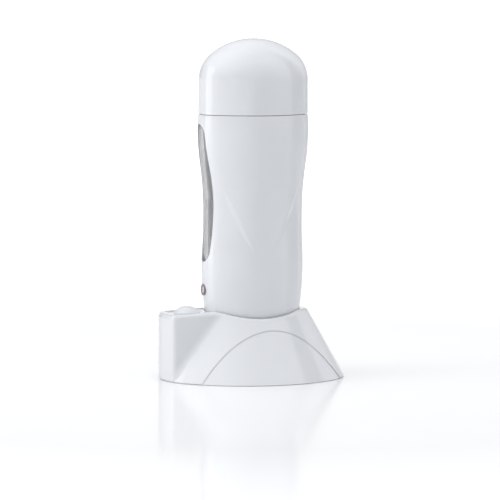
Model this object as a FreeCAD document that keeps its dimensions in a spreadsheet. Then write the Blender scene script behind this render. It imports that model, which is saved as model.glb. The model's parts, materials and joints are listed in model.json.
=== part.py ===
"""Roll-on wax heater: a hand-held cartridge heater with a domed cap, standing in a flared dock.

Frame: +Z up, origin on the table under the handset's axis. The window side is -Y and the
wide sides face +X and -X. Millimetres throughout.
"""
import FreeCAD, Part
import math
import os
import re

import Sketcher

V = FreeCAD.Vector
X_AXIS, Y_AXIS, Z_AXIS = V(1, 0, 0), V(0, 1, 0), V(0, 0, 1)
REACH = 90.0  # half the side of cutting blocks, beyond every edge of the object; where a tool only
# has to pass a face, it runs 1 or 2 mm past it

SIZES = [
    # dock: outer form
    ("foot_gap", 0.6, "height of the dock's edge above the table"),
    ("foot_half_long", 57.4, "dock footprint, half length"),
    ("foot_bevel", 1.0, "bevel of the dock's lower edge"),
    ("dock_end_centre", 20.0, "dock ovals: centres of the round ends, from the axis"),
    ("dock_side_centre", 20.5, "dock ovals: centres of the long sides, across the axis"),
    ("flare_top_half_long", 32.62, "the flare's half length at the height to which it is drawn"),
    ("flare_top", 44.0, "height to which the flare is drawn before its top is cut"),
    ("rim_low", 37.8, "rim height at the dock's sides, lowest point"),
    ("valley_radius", 82.0, "curve of the dip in the rim"),
    ("valley_half_span", 22.0, "half the length of the dip"),
    ("rise_radius", 25.0, "rounding from the dip to the rim's ends"),
    ("rim_round", 2.4, "rounding of the rim's outer edge"),
    ("block_half_width", 15.0, "front block, half width"),
    ("block_root", 22.0, "front block's hidden end, inside the flare"),
    ("block_corner", 3.0, "rounding of the block's upright edges"),
    ("block_blend", 6.0, "hollow blend between block and flare"),
    ("block_drop", 1.5, "fall of the block's top towards the front"),
    ("tray_half_width", 11.0, "sunk field on the block's top, half width"),
    ("tray_margin", 5.2, "from the block's front to the sunk field"),
    ("tray_corner", 4.0, "corner radius of the sunk field"),
    ("tray_inner_end", 26.5, "inner end of the sunk field, inside the well"),
    ("tray_depth", 0.6, "depth of the sunk field"),
    ("panel_apex", 31.4, "top of the arched side panel"),
    ("panel_offset", 3.2, "arch centre behind the handset's axis"),
    ("panel_half_span", 45.5, "arched panel at the table, half width"),
    ("panel_depth", 0.45, "how deep the arched panel is sunk"),
    # dock: walls and inner details
    ("shell_wall", 2.5, "dock wall, measured level"),
    ("roof_wall", 2.4, "dock top wall"),
    ("well_gap", 0.3, "handset to dock well, all round"),
    ("collar_wall", 2.0, "wall of the skirt round the well"),
    ("collar_bottom", 33.0, "lower end of the skirt, where the cup begins"),
    ("cup_wall", 1.6, "cup wall"),
    ("cup_floor_top", 20.5, "inside of the cup's floor"),
    ("cup_floor", 2.0, "cup floor thickness"),
    ("cup_flange", 2.4, "cup flange, width beyond the wall"),
    ("cup_flange_thickness", 1.6, "cup flange thickness"),
    ("plate_gap", 0.2, "bottom plate to dock wall"),
    ("plate_thickness", 2.4, "bottom plate"),
    ("boss_radius", 3.5, "screw bosses of the dock shell"),
    ("boss_x", 27.0, "screw places, sideways"),
    ("boss_y", 24.0, "screw places, lengthways"),
    ("screw_radius", 1.45, "plate screw shank"),
    ("screw_length", 9.0, "plate screw below its head"),
    ("screw_head_radius", 2.8, "plate screw head"),
    ("screw_head", 1.1, "plate screw head height"),
    ("screw_gap", 0.05, "screw shank to its hole"),
    ("head_gap", 0.3, "screw head to its counterbore"),
    ("foot_radius", 4.5, "rubber foot"),
    ("foot_height", 1.8, "rubber foot"),
    ("foot_x", 19.0, "rubber foot places, sideways"),
    ("foot_inset", 19.4, "rubber foot places, in from the dock's ends"),
    ("foot_seat_gap", 0.1, "rubber foot to its pocket"),
    ("post_half", 2.2, "posts under the cup, half width"),
    ("post_x", 16.0, "posts under the cup, sideways"),
    ("post_y", 9.0, "posts under the cup, lengthways"),
    ("board_half_wide", 13.0, "control board, half width"),
    ("board_half_long", 30.0, "control board, half length"),
    ("board_bottom", 7.0, "control board, height of its underside"),
    ("board_thickness", 1.6, "control board"),
    ("standoff_radius", 2.4, "board standoffs"),
    ("standoff_y", 26.0, "board standoffs, lengthways"),
    ("board_screw_radius", 1.1, "board screw shank"),
    ("board_screw_length", 4.5, "board screw below its head"),
    ("board_screw_head_radius", 2.1, "board screw head"),
    ("board_screw_head", 1.3, "board screw head height"),
    ("terminal_height", 7.0, "terminal block on the board"),
    ("relay_height", 8.0, "relay on the board"),
    ("capacitor_radius", 3.1, "capacitor on the board"),
    ("capacitor_height", 8.5, "capacitor on the board"),
    # dock: spring contacts
    ("pin_y", 7.0, "contact pins, distance from the axis"),
    ("pin_radius", 1.2, "contact pin"),
    ("pin_running_gap", 0.05, "contact pin to its guide"),
    ("pin_length", 7.5, "contact pin"),
    ("pin_proud", 0.2, "contact pin above the cup's floor"),
    ("pin_collar_radius", 1.9, "collar that keeps the pin in"),
    ("pin_collar", 1.0, "collar thickness"),
    ("pin_bore_radius", 2.1, "bore for collar and spring"),
    ("pin_guide", 1.9, "length of the pin's guide"),
    ("pin_block_low", 13.8, "underside of the pin block between its legs"),
    ("pin_block_leg", 1.6, "legs of the pin block"),
    ("pin_collar_gap", 0.2, "collar below its stop"),
    ("leaf_thickness", 0.4, "leaf spring under each pin"),
    ("leaf_width", 3.0, "leaf spring"),
    ("leaf_foot_near", 12.5, "leaf spring's foot, near end from the axis"),
    ("leaf_foot_far", 17.5, "leaf spring's foot, far end from the axis"),
    ("pin_block_half_wide", 4.5, "pin block, half width"),
    ("pin_block_half_long", 12.0, "pin block, half length"),
    # dock: push button and its switch
    ("button_y", 41.0, "button in front of the handset's axis"),
    ("button_radius", 7.75, "button dome at its foot"),
    ("button_gap", 0.25, "button to its hole"),
    ("button_top", 44.4, "top of the dome"),
    ("dome_radius", 10.3, "curve of the dome"),
    ("button_skirt", 2.72, "straight side below the dome"),
    ("button_flange_radius", 8.8, "flange that keeps the button in"),
    ("button_flange", 1.0, "flange thickness"),
    ("button_stem_radius", 2.5, "button stem"),
    ("button_travel", 1.5, "how far the button goes down"),
    ("switch_half", 4.2, "switch housing, half width"),
    ("switch_bottom", 22.0, "switch housing underside"),
    ("switch_top", 30.0, "switch housing top"),
    ("plunger_radius", 1.6, "switch plunger"),
    ("plunger_gap", 0.08, "plunger to its hole"),
    ("plunger_proud", 2.0, "plunger above the switch"),
    ("plunger_depth", 2.2, "plunger inside the switch"),
    ("tower_wall", 1.6, "wall of the tower under the switch"),
    # dock: power inlet for a figure-8 appliance lead
    ("notch_face", 46.0, "inlet face behind the axis"),
    ("notch_half_width", 11.0, "notch round the inlet, half width"),
    ("notch_low", 5.5, "notch floor"),
    ("notch_high", 19.5, "notch roof"),
    ("notch_wall", 2.0, "walls of the notch"),
    ("inlet_half_pitch", 4.3, "half the distance between the inlet's pins"),
    ("inlet_hole_radius", 3.7, "rounding of the socket hole"),
    ("inlet_nose_wall", 1.1, "wall of the inlet's nose"),
    ("inlet_shoulder", 1.0, "shoulder that bears on the notch's wall"),
    ("inlet_gap", 0.1, "inlet nose to its hole"),
    ("inlet_depth", 11.0, "depth of the socket hole"),
    ("inlet_back", 4.0, "material behind the socket hole"),
    ("inlet_pin_radius", 1.18, "inlet pin"),
    ("inlet_pin_short", 1.0, "inlet pin ends below the face by"),
    # handset: four-centre ovals, all parallel, that follow one curve from the sole to the seam
    ("hand_end_centre", 14.0, "handset ovals: centres of the round ends, from the axis"),
    ("hand_side_centre", 18.0, "handset ovals: centres of the long sides, across the axis"),
    ("sole_height", 20.8, "handset underside"),
    ("lean_top", 47.0, "height up to which the handset's foot is straight"),
    ("belly_height", 69.0, "lower swelling"),
    ("belly_half_long", 31.2, ""),
    ("belly_radius", 190.0, "curve of the lower swelling"),
    ("waist_low", 92.0, "lower end of the straight waist"),
    ("waist_high", 100.0, "upper end of the straight waist"),
    ("waist_half_long", 30.5, "narrowest place of the grip"),
    ("waist_radius", 200.0, "curve from the waist up to the shoulder"),
    ("shoulder_height", 150.0, "widest place"),
    ("shoulder_half_long", 34.0, ""),
    ("seam_height", 158.8, "upper edge of the handset shell"),
    ("seam_bevel", 0.3, "bevels of the two edges at the seam"),
    ("rim_height", 41.7, "where the handset leaves the dock"),
    ("core_half_long", 28.4, "inside of the handset between its foot and its shoulder"),
    ("core_straight_top", 108.0, "from here the inside widens to the shoulder"),
    ("hand_wall", 2.0, "handset wall"),
    # handset: grip relief, window, indicator
    ("shield_sink", 0.08, "side shield below the lower swelling"),
    ("shield_top_z", 112.0, "upper end of the shield's edge"),
    ("shield_top_y", 21.5, ""),
    ("shield_foot_z", 79.7, "lower end of the shield's edge"),
    ("shield_foot_y", 6.8, ""),
    ("shield_slope", 14.0, "slope of the shield's edge, degrees"),
    ("shield_margin", 8.0, "how far the sloped edge runs on under the surface"),
    ("window_half_width", 9.3, "window at its widest"),
    ("window_widest_z", 110.1, "height of the widest place"),
    ("window_side_radius", 290.0, "curve of the window's long sides"),
    ("window_foot_radius", 7.5, "lower end of the window"),
    ("window_head_radius", 7.0, "upper end of the window"),
    ("lens_gap", 0.12, "lens to the window's edge"),
    ("lens_sunk", 0.15, "lens below the handset's surface"),
    ("lens_lip", 2.0, "lip behind the wall, width"),
    ("lens_lip_thickness", 0.9, "lip behind the wall"),
    ("lens_seat_gap", 0.05, "lip to the wall's inside"),
    ("indicator_z", 54.0, "indicator height"),
    ("indicator_reach", 31.25, "bezel face in front of the axis"),
    ("indicator_lip_radius", 3.4, "bezel lip"),
    ("indicator_lip", 0.6, "bezel lip thickness"),
    ("indicator_barrel_radius", 2.9, "bezel barrel"),
    ("indicator_hole_gap", 0.1, "bezel barrel to its hole"),
    ("indicator_depth", 3.65, "bezel, front to back"),
    ("indicator_lens_radius", 2.2, "indicator lens"),
    ("indicator_lens_gap", 0.05, "lens to bezel"),
    ("indicator_lens_proud", 0.35, "top of the lens above the bezel"),
    ("indicator_lens_depth", 1.5, "lens barrel"),
    ("indicator_dome_radius", 3.5, "curve of the lens's face"),
    ("lamp_radius", 1.1, "indicator lamp"),
    ("lamp_length", 1.3, "indicator lamp"),
    ("lamp_board_thickness", 0.8, "lamp board"),
    ("lamp_board_half_wide", 4.0, "lamp board, half width"),
    ("lamp_board_half_tall", 5.0, "lamp board, half height"),
    # handset: heater
    ("chamber_radius", 13.8, "cartridge chamber, radius of its round ends inside"),
    ("chamber_centre", 9.0, "centres of the round ends, from the axis"),
    ("chamber_wall", 1.0, "chamber wall"),
    ("chamber_bottom", 42.0, "chamber underside"),
    ("chamber_floor", 1.5, "chamber floor"),
    ("chamber_top", 152.0, "chamber upper edge"),
    ("sight_half_width", 6.5, "sight slot in the chamber, half width"),
    ("sight_low", 79.0, "sight slot, lower end"),
    ("sight_high", 146.0, "sight slot, upper end"),
    ("heater_thickness", 1.4, "heater plate"),
    ("heater_half_long", 8.0, "heater plate, half length"),
    ("heater_low", 56.0, "heater plate, lower end"),
    ("heater_high", 80.0, "heater plate, upper end"),
    ("clip_gap", 0.05, "spring band to the heater plates"),
    ("clip_thickness", 0.4, "spring band"),
    ("clip_low", 62.0, "spring band, lower edge"),
    ("clip_high", 70.0, "spring band, upper edge"),
    ("thermostat_radius", 7.0, "thermostat body"),
    ("thermostat_flange_radius", 8.0, "thermostat flange"),
    ("thermostat_flange", 1.2, "thermostat flange thickness"),
    ("thermostat_height", 6.0, "thermostat"),
    ("thermostat_y", 7.5, "thermostat behind the axis"),
    ("fuse_radius", 2.0, "thermal fuse"),
    ("fuse_half_length", 5.5, "thermal fuse, half length"),
    ("fuse_y", 9.0, "thermal fuse in front of the axis"),
    ("fuse_strap", 0.6, "strap that holds the fuse"),
    ("fuse_strap_half_wide", 2.5, "strap, half width"),
    ("fuse_strap_gap", 0.02, "strap to the fuse"),
    # handset: collar and bottom
    ("neck_half_long", 31.6, "collar, outside half length"),
    ("neck_wall", 1.6, "collar wall"),
    ("neck_bottom", 151.0, "collar, lower edge"),
    ("neck_top", 166.0, "collar, top face"),
    ("neck_notch_half", 9.4, "gap in the collar for the lens's lip, half width"),
    ("neck_notch_top", 155.7, "gap in the collar for the lens's lip, top"),
    ("deck_thickness", 1.6, "collar deck"),
    ("chimney_wall", 1.4, "tube that leads the cartridge in"),
    ("cover_top", 23.2, "bottom cover, upper face at its edge"),
    ("cover_seam", 0.15, "gap between bottom cover and shell"),
    ("cover_chamfer", 1.2, "bevel of the sole's edge"),
    ("spigot_height", 3.5, "spigot inside the shell"),
    ("spigot_wall", 1.4, "spigot wall"),
    ("spigot_gap", 0.2, "spigot to the shell"),
    ("prop_half_wide", 7.0, "ribs under the chamber, half width"),
    ("prop_thickness", 1.8, "ribs under the chamber"),
    ("prop_y", 17.5, "ribs under the chamber, distance from the axis"),
    ("contact_radius", 2.4, "handset contact"),
    ("contact_thickness", 0.9, "handset contact"),
    ("contact_sunk", 0.2, "handset contact above the sole"),
    ("contact_stem_radius", 1.1, "contact stem"),
    ("contact_stem", 5.5, "contact stem length"),
    ("contact_gap", 0.15, "contact to its seat"),
    ("carrier_half_wide", 5.0, "contact carrier, half width"),
    ("carrier_half_long", 11.5, "contact carrier, half length"),
    ("carrier_height", 3.8, "contact carrier"),
    ("cover_screw_y", 22.4, "cover screws, distance from the axis"),
    ("boss_rib", 1.6, "rib from each boss to the handset's wall"),
    ("cover_boss_radius", 3.0, "bosses for the cover screws"),
    ("cover_boss_height", 9.0, "bosses for the cover screws"),
    ("cover_screw_radius", 1.2, "cover screw shank"),
    ("cover_screw_length", 8.0, "cover screw below its head"),
    ("cover_head_radius", 2.3, "cover screw head"),
    ("cover_head", 1.1, "cover screw head height"),
    # cap
    ("cap_gap", 0.3, "cap to the handset's seam"),
    ("cap_top", 204.1, "top of the object"),
    ("cap_half_long", 33.5, "cap where its dome begins, half length"),
    ("cap_foot_half_long", 33.65, "cap at its lower edge, half length"),
    ("cap_wall", 1.8, "cap wall"),
    ("cap_room_rise", 19.4, "flat ceiling inside the cap, above the foot of its dome"),
]

doc = FreeCAD.newDocument("RollOnWaxHeater")
sheet = doc.addObject("Spreadsheet::Sheet", "Sizes")
for row, (alias, value, note) in enumerate(SIZES, start=1):
    sheet.set(f"A{row}", alias)
    sheet.set(f"B{row}", str(value))
    sheet.set(f"C{row}", note)
    sheet.setAlias(f"B{row}", alias)
doc.recompute()
ALIASES = {alias for alias, _, _ in SIZES}
nodes = []


# ---------------------------------------------------------------- helpers

def size(alias):
    return float(getattr(sheet, alias))


def linked(text):
    """An expression in which every size's name points at its cell."""
    return re.sub(r"[a-z_]+", lambda m: f"Sizes.{m.group()}" if m.group() in ALIASES else m.group(), text)


def bind(thing, **expressions):
    for name, text in expressions.items():
        thing.setExpression(name.replace("__", "."), linked(text))
    return thing


def move(thing, x="0", y="0", z="0"):
    return bind(thing, Placement__Base__x=x, Placement__Base__y=y, Placement__Base__z=z)


def node(label, thing):
    """Names a finished sub-part."""
    thing.Label = label
    nodes.append(thing)
    return thing


def box(name, x, y, z):
    """A block between two expressions along each axis."""
    block = doc.addObject("Part::Box", name)
    bind(block, Length=f"({x[1]}) - ({x[0]})", Width=f"({y[1]}) - ({y[0]})", Height=f"({z[1]}) - ({z[0]})")
    return move(block, x[0], y[0], z[0])


def rod(name, radius, x, y, z):
    """An upright cylinder between two heights."""
    cylinder = doc.addObject("Part::Cylinder", name)
    bind(cylinder, Radius=radius, Height=f"({z[1]}) - ({z[0]})")
    return move(cylinder, x, y, z[0])


def rod_along(name, direction, radius, length, x, y, z):
    """A cylinder along an axis, from the given point."""
    cylinder = doc.addObject("Part::Cylinder", name)
    cylinder.Placement = FreeCAD.Placement(V(0, 0, 0), FreeCAD.Rotation(Z_AXIS, direction))
    bind(cylinder, Radius=radius, Height=length)
    return move(cylinder, x, y, z)


def turned_sector(rows, curve, shift, centre, start, angle):
    """The part of an oval body that turns about one of its four centres."""
    def point(half_long, z):
        return V(half_long + shift, 0, z)

    edges = []
    for low, high in zip(rows, rows[1:]):
        height = (low[1] + high[1]) / 2
        bend = curve(height) if curve else (low[0] + high[0]) / 2
        if abs(bend - (low[0] + high[0]) / 2) < 1e-4:
            edges.append(Part.makeLine(point(*low), point(*high)))
        else:
            edges.append(Part.Arc(point(*low), point(bend, height), point(*high)).toShape())
    top, bottom = V(0, 0, rows[-1][1]), V(0, 0, rows[0][1])
    corners = [point(*rows[-1]), top, bottom, point(*rows[0])]
    edges += [Part.makeLine(start_point, end_point) for start_point, end_point in zip(corners, corners[1:])]
    face = Part.Face(Part.Wire(edges))
    face.rotate(V(0, 0, 0), Z_AXIS, start)
    sector = face.revolve(V(0, 0, 0), Z_AXIS, angle)
    sector.translate(centre)
    return sector


def oval_body(name, family, rows, curve=None):
    """A body whose level sections are parallel four-centre ovals, long side along Y.

    Rows of (half length, height) run from the bottom to the top. A curve gives the half length
    between them, where it is an arc. The family names the two sizes that place the centres, so
    that bodies of one family are everywhere the same distance apart.
    """
    end, side = size(f"{family}_end_centre"), size(f"{family}_side_centre")
    reach = math.hypot(end, side)
    end_half = math.degrees(math.atan2(side, end))
    side_half = 90 - end_half
    sectors = [turned_sector(rows, curve, -end, V(0, end, 0), 90 - end_half, 2 * end_half),
               turned_sector(rows, curve, -end, V(0, -end, 0), 270 - end_half, 2 * end_half)]
    for turn, sign in ((-side_half, 1), (180 - side_half, -1)):
        wedge = turned_sector(rows, curve, reach - end, V(-sign * side, 0, 0), turn, 2 * side_half)
        edge = 0 if sign > 0 else -2 * REACH
        half = Part.makeBox(2 * REACH, 4 * REACH, 8 * REACH, V(edge, -2 * REACH, -4 * REACH))
        sectors.append(wedge.common(half))
    return shape(name, sectors[0].multiFuse(sectors[1:]).removeSplitter())


def oval_prism(name, family, half_long, low, high):
    return oval_body(name, family, [(half_long, low), (half_long, high)])


def stadium(name, radius, low, high):
    """An upright prism with straight sides and round ends, as the wax cartridge has."""
    centres = ("-chamber_centre", "chamber_centre")
    ends = [rod(f"{name}_end_{i}", radius, "0", y, (low, high)) for i, y in enumerate(centres)]
    return fuse(name, box(f"{name}_middle", (f"-({radius})", radius), centres, (low, high)), *ends)


def fuse(name, *parts):
    joined = doc.addObject("Part::MultiFuse", name)
    joined.Shapes = list(parts)
    joined.Refine = True
    return joined


def common(name, *parts):
    shared = doc.addObject("Part::MultiCommon", name)
    shared.Shapes = list(parts)
    return shared


def cut(name, base, *tools):
    """The base less every tool, taken one after the other."""
    for number, tool in enumerate(tools, start=1):
        rest = doc.addObject("Part::Cut", name if number == len(tools) else f"{name}_step{number}")
        rest.Base = base
        rest.Tool = tool
        rest.Refine = True
        base = rest
    return base


def group(name, parts):
    """Separate solids that share a node."""
    several = doc.addObject("Part::Compound", name)
    several.Links = list(parts)
    return several


def shape(name, solid):
    feature = doc.addObject("Part::Feature", name)
    feature.Shape = solid
    return feature


def middle(edge):
    return edge.valueAt((edge.FirstParameter + edge.LastParameter) / 2)


def edges_where(base, test):
    doc.recompute()
    return [i for i, edge in enumerate(base.Shape.Edges, start=1) if test(edge, middle(edge))]


def eased(kind, name, base, groups):
    """Fillets or chamfers; each group is a list of edge numbers and a size's name."""
    easing = doc.addObject(f"Part::{kind}", name)
    easing.Base = base
    easing.Edges = [(i, size(alias), size(alias)) for numbers, alias in groups for i in numbers]
    return easing


def is_upright(edge):
    ends = [vertex.Point for vertex in edge.Vertexes]
    return len(ends) == 2 and math.hypot(ends[0].x - ends[1].x, ends[0].y - ends[1].y) < 1e-3


def new_sketch(body, role):
    plane = next(f for f in body.Origin.OriginFeatures if f.Role == role)
    drawing = body.newObject("Sketcher::SketchObject", f"{body.Name}_outline")
    drawing.AttachmentSupport = (plane, "")
    drawing.MapMode = "FlatFace"
    return drawing


def outline(drawing, corners):
    """A closed polygon whose corners are held by named sizes."""
    count = len(corners)
    start = [V(10 * math.cos(2 * math.pi * i / count), 10 * math.sin(2 * math.pi * i / count), 0)
             for i in range(count)]
    for i in range(count):
        drawing.addGeometry(Part.LineSegment(start[i], start[(i + 1) % count]))
    for i in range(count):
        drawing.addConstraint(Sketcher.Constraint("Coincident", i, 2, (i + 1) % count, 1))
    for i, corner in enumerate(corners):
        for kind, text, axis in (("DistanceX", corner[0], -2), ("DistanceY", corner[1], -1)):
            if text == "0":
                drawing.addConstraint(Sketcher.Constraint("PointOnObject", i, 1, axis))
            else:
                k = drawing.addConstraint(Sketcher.Constraint(kind, -1, 1, i, 1, 1.0))
                drawing.setExpression(f"Constraints[{k}]", linked(text))


def turned(name, corners, x="0", y="0"):
    """A turned piece: an outline of (radius, height) corners, spun about the upright axis."""
    body = doc.addObject("PartDesign::Body", name)
    drawing = new_sketch(body, "XZ_Plane")
    outline(drawing, corners)
    spin = body.newObject("PartDesign::Revolution", f"{name}_turn")
    spin.Profile = drawing
    spin.ReferenceAxis = (drawing, ["V_Axis"])
    spin.Angle = 360
    return move(body, x, y)


def padded(name, corners, low, thickness):
    """A flat piece: an outline of (x, y) corners, padded upwards from a height."""
    body = doc.addObject("PartDesign::Body", name)
    drawing = new_sketch(body, "XY_Plane")
    outline(drawing, corners)
    pad = body.newObject("PartDesign::Pad", f"{name}_pad")
    pad.Profile = drawing
    bind(pad, Length=thickness)
    return move(body, z=low)


def rectangle(half_wide, half_long):
    return [(f"-({half_wide})", f"-({half_long})"), (half_wide, f"-({half_long})"),
            (half_wide, half_long), (f"-({half_wide})", half_long)]


def four_places(x, y):
    return [(sx + x, sy + y) for sx in ("-", "") for sy in ("-", "")]


# ---------------------------------------------------------------- dock

def above_dock(name, drop=0.0):
    """All space above the dock's top, lowered by drop: a dip between two rounded rises."""
    low, radius, span = size("rim_low") - drop, size("valley_radius"), size("valley_half_span")
    rise = size("rise_radius")
    dip_end = low + radius - math.sqrt(radius ** 2 - span ** 2)
    slope = math.asin(span / radius)
    level_y = span + rise * math.sin(slope)
    level_z = dip_end + rise * (1 - math.cos(slope))
    front_y = -size("foot_half_long")
    front_z = level_z - size("block_drop")

    def at(y, z):
        return V(-REACH, y, z)

    def rise_arc(side):
        half_y, half_z = level_y - rise * math.sin(slope / 2), level_z - rise * (1 - math.cos(slope / 2))
        halfway = at(side * half_y, half_z)
        return Part.Arc(at(side * span, dip_end), halfway, at(side * level_y, level_z)).toShape()

    ridge = [
        Part.makeLine(at(-REACH, front_z), at(front_y, front_z)),
        Part.makeLine(at(front_y, front_z), at(-level_y, level_z)),
        rise_arc(-1),
        Part.Arc(at(-span, dip_end), at(0, low), at(span, dip_end)).toShape(),
        rise_arc(1),
        Part.makeLine(at(level_y, level_z), at(REACH, level_z)),
        Part.makeLine(at(REACH, level_z), at(REACH, REACH)),
        Part.makeLine(at(REACH, REACH), at(-REACH, REACH)),
        Part.makeLine(at(-REACH, REACH), at(-REACH, front_z)),
    ]
    face = Part.Face(Part.Wire(Part.sortEdges(ridge)[0]))
    return shape(name, face.extrude(V(2 * REACH, 0, 0)))


def flare(name, inset=0.0, low=None, high=None):
    """The dock's leaning oval body between two heights, smaller all round by an inset."""
    low = size("foot_gap") if low is None else low
    high = size("flare_top") if high is None else high
    foot, foot_z = size("foot_half_long"), size("foot_gap")
    lean = (foot - size("flare_top_half_long")) / (size("flare_top") - foot_z)
    return oval_body(name, "dock", [(foot - lean * (z - foot_z) - inset, z) for z in (low, high)])


def front_block(name, inset=0.0, low=None):
    """The upright block in front, its face following the footprint."""
    low = size("foot_gap") if low is None else low
    column = oval_prism(f"{name}_column", "dock", size("foot_half_long") - inset, low, size("flare_top"))
    half = f"block_half_width - {inset}"
    slab = box(f"{name}_slab", (f"-({half})", half), (f"-{REACH}", "-block_root"), (f"{low}", "flare_top"))
    return common(name, column, slab)


def dock_form():
    """The dock's outer form. One half is blended and rounded, then mirrored."""
    right = box("right_half", ("0", f"{REACH}"), (f"-{REACH}", f"{REACH}"), ("-10", f"{REACH}"))
    sky = above_dock("above_dock")
    half_flare = cut("half_flare", common("right_flare", flare("flare"), right), sky)
    half_block = cut("half_block", common("right_block", front_block("block"), right), sky)
    half = fuse("half_dock", half_flare, half_block)
    side = size("block_half_width")
    corner = edges_where(half, lambda e, m: is_upright(e) and abs(m.x - side) < 0.01)
    inner = edges_where(half, lambda e, m: abs(m.x - side) < 0.01 and not is_upright(e)
                        and e.BoundBox.ZLength > size("flare_top") / 2)
    blended = eased("Fillet", "half_blended", half, [(corner, "block_corner"), (inner, "block_blend")])
    rim = edges_where(blended, lambda e, m: on_rim(blended.Shape, e, m))
    rounded = eased("Fillet", "half_rounded", blended, [(rim, "rim_round")])
    other = doc.addObject("Part::Mirroring", "other_half")
    other.Source = rounded
    other.Normal = X_AXIS
    bevel, low = size("foot_half_long") - size("foot_bevel"), size("foot_gap")
    foot = oval_body("foot_bevel", "dock", [(bevel, low), (bevel + REACH, low + REACH)])
    return common("dock_form", fuse("dock_halves", rounded, other), foot)


def on_rim(solid, edge, point):
    """True for an edge between the dock's top and its outer side, off the middle plane."""
    if point.z < size("rim_low") - 1 or point.x < 0.01:
        return False
    tops = 0
    faces = [face for face in solid.Faces if any(edge.isSame(other) for other in face.Edges)]
    for face in faces:
        u0, u1, v0, v1 = face.ParameterRange
        tops += abs(face.normalAt((u0 + u1) / 2, (v0 + v1) / 2).z) > 0.9
    return len(faces) == 2 and tops == 1


def arch_prism():
    """The outline of the side panels, a parabola standing on the table, drawn through the dock."""
    span, middle_y, apex = size("panel_half_span"), size("panel_offset"), size("panel_apex")
    curve = Part.BezierCurve()
    near, far = V(-REACH, middle_y - span, 0), V(-REACH, middle_y + span, 0)
    curve.setPoles([near, V(-REACH, middle_y, 2 * apex), far])
    face = Part.Face(Part.Wire([curve.toShape(), Part.makeLine(far, near)]))
    return shape("panel_outline", face.extrude(V(2 * REACH, 0, 0)))


def slot_along_y(name, half_pitch, radius, y, z):
    """A long hole with round ends, running along Y between two places."""
    ends = [rod_along(f"{name}_{side}", Y_AXIS, radius, f"({y[1]}) - ({y[0]})", x, y[0], z)
            for side, x in (("left", f"-({half_pitch})"), ("right", half_pitch))]
    heights = (f"({z}) - ({radius})", f"({z}) + ({radius})")
    return fuse(name, box(f"{name}_web", (f"-({half_pitch})", half_pitch), y, heights), *ends)


INLET_Z = "(notch_low + notch_high) / 2"
INLET_BACK_Y = "notch_face - inlet_depth - inlet_back"
FOOT_Y = "(foot_half_long - foot_inset)"
NOSE_RADIUS = "inlet_hole_radius + inlet_nose_wall"
PLATE_TOP = "foot_gap + plate_thickness"
PLATE_SCREW_SEAT = "foot_gap + screw_head + head_gap"
BOARD_TOP = "board_bottom + board_thickness"
BOARD_SCREWS = [("0", "-standoff_y"), ("0", "standoff_y")]


def dock_shell():
    form = dock_form()
    low_sky = above_dock("above_roof", size("roof_wall"))
    hollow = fuse(
        "dock_hollow",
        cut("flare_hollow", flare("inner_flare", size("shell_wall"), -1), low_sky),
        cut("block_hollow", front_block("inner_block", size("shell_wall"), -1), low_sky))
    well_half = hand_half_long(size("rim_height")) + size("well_gap")
    low, high = size("collar_bottom"), size("flare_top")
    skirt = oval_prism("skirt", "hand", well_half + size("collar_wall"), low, high + 1)
    places = four_places("boss_x", "boss_y")
    bosses = [rod(f"boss_{i}", "boss_radius", x, y, (PLATE_TOP, "flare_top"))
              for i, (x, y) in enumerate(places)]
    notch_walls = box("notch_walls", ("-(notch_half_width + notch_wall)", "notch_half_width + notch_wall"),
                      ("notch_face - notch_wall", f"{REACH}"),
                      ("notch_low - notch_wall", "notch_high + notch_wall"))
    solid = cut("dock_solid", form, cut("dock_cavity", hollow, skirt, notch_walls, *bosses))
    well = oval_prism("well", "hand", well_half, low - 2, high + 2)
    button_hole = rod("button_hole", "button_radius + button_gap", "0", "-button_y",
                      ("collar_bottom", f"{REACH}"))
    notch = box("notch", ("-notch_half_width", "notch_half_width"), ("notch_face", f"{REACH}"),
                ("notch_low", "notch_high"))
    inlet_hole = slot_along_y("inlet_hole", "inlet_half_pitch", f"{NOSE_RADIUS} + inlet_gap",
                              ("notch_face - 2 * notch_wall", "notch_face + 1"), INLET_Z)
    inlet_room = slot_along_y("inlet_room", "inlet_half_pitch", f"{NOSE_RADIUS} + inlet_shoulder + inlet_gap",
                              (INLET_BACK_Y, "notch_face - notch_wall"), INLET_Z)
    pilot = (f"{PLATE_TOP} - 1", f"{PLATE_TOP} + screw_length")
    pilots = [rod(f"boss_pilot_{i}", "screw_radius + screw_gap", x, y, pilot)
              for i, (x, y) in enumerate(places)]
    shell = cut("dock_shell_solid", solid, well, button_hole, tray(), panels(), notch, inlet_hole,
                inlet_room, *pilots)
    return node("dock_shell", shell)


def tray():
    """The shallow sunk field round the button, parallel to the block's top and open to the well."""
    field = box("tray_field", ("-tray_half_width", "tray_half_width"),
                ("-(foot_half_long - tray_margin)", "-tray_inner_end"), ("collar_bottom", f"{REACH}"))
    corners = edges_where(field, lambda e, m: is_upright(e) and m.y < -size("button_y"))
    soft = eased("Fillet", "tray_soft", field, [(corners, "tray_corner")])
    return common("tray", soft, above_dock("above_tray", size("tray_depth")))


def panels():
    """The skin inside the arch on both sides, which sinks the panels."""
    inside = flare("panel_inside", size("panel_depth"), -2, size("flare_top") + 1)
    return common("panels", cut("panel_skin", flare("panel_outside", -1, -1), inside), arch_prism())


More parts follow.
